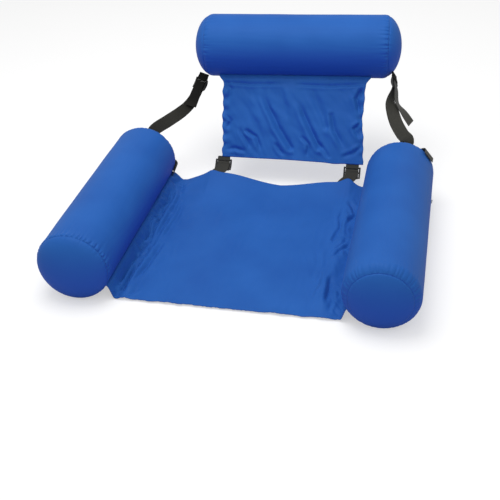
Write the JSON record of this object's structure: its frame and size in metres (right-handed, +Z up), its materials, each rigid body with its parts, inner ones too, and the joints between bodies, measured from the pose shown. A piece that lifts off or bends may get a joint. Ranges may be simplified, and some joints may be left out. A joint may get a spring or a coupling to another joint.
{
  "type": "inflatable water armchair",
  "caption": "Inflatable water armchair: blue nylon arm rolls and head roll, cloth seat and folding back, black webbing with ladder-lock buckles.",
  "frame": {"origin": "on the ground, under the middle of the whole chair", "axes": "+X to the right as seen from the front, +Y from the seat's front edge to the head roll, +Z up; left and right in the names are as seen from the front"},
  "size_m": [0.9678, 0.9887, 0.4564],
  "materials": {
    "nylon": "royal blue coated nylon, soft sheen",
    "pvc_film": "grey PVC film",
    "valve_vinyl": "off-white moulded vinyl",
    "webbing": "black polypropylene webbing",
    "acetal": "black moulded acetal"
  },
  "bodies": {
    "seat": {"seat_panel": "nylon", "left_arm_cover": "nylon", "left_arm_front_cap": "nylon", "left_arm_rear_cap": "nylon", "left_arm_bladder": "pvc_film", "left_arm_valve": "valve_vinyl", "left_arm_band": "webbing", "right_arm_cover": "nylon", "right_arm_front_cap": "nylon", "right_arm_rear_cap": "nylon", "right_arm_bladder": "pvc_film", "right_arm_valve": "valve_vinyl", "right_arm_band": "webbing", "left_lower_strap": "webbing", "left_lower_buckle": "acetal", "right_lower_strap": "webbing", "right_lower_buckle": "acetal", "left_shoulder_strap": "webbing", "right_shoulder_strap": "webbing"},
    "backrest": {"back_panel": "nylon", "head_roll_cover": "nylon", "head_roll_left_cap": "nylon", "head_roll_right_cap": "nylon", "head_roll_bladder": "pvc_film", "head_roll_valve": "valve_vinyl", "left_shoulder_tab": "webbing", "left_shoulder_buckle": "acetal", "right_shoulder_tab": "webbing", "right_shoulder_buckle": "acetal", "left_lower_tab": "webbing", "right_lower_tab": "webbing"},
    "left_arm_plug": {"left_arm_valve_plug": "valve_vinyl"},
    "right_arm_plug": {"right_arm_valve_plug": "valve_vinyl"},
    "head_roll_plug": {"head_roll_valve_plug": "valve_vinyl"}
  },
  "joints": [
    {"name": "back_fold", "type": "hinge", "parent": "seat", "child": "backrest", "pos_m": [0.048, 0.18058, 0.072], "axis": [1, 0, 0], "range_deg": [0, 80], "deforming": ["left_shoulder_strap", "right_shoulder_strap"]},
    {"name": "left_arm_plug_pull", "type": "slide", "parent": "seat", "child": "left_arm_plug", "axis": [-0.9239, 0, -0.3827], "range_m": [0, 0.012]},
    {"name": "right_arm_plug_pull", "type": "slide", "parent": "seat", "child": "right_arm_plug", "axis": [0.9239, 0, -0.3827], "range_m": [0, 0.012]},
    {"name": "head_roll_plug_pull", "type": "slide", "parent": "backrest", "child": "head_roll_plug", "axis": [-0.0612, 0.9216, -0.3834], "range_m": [0, 0.012]}
  ]
}
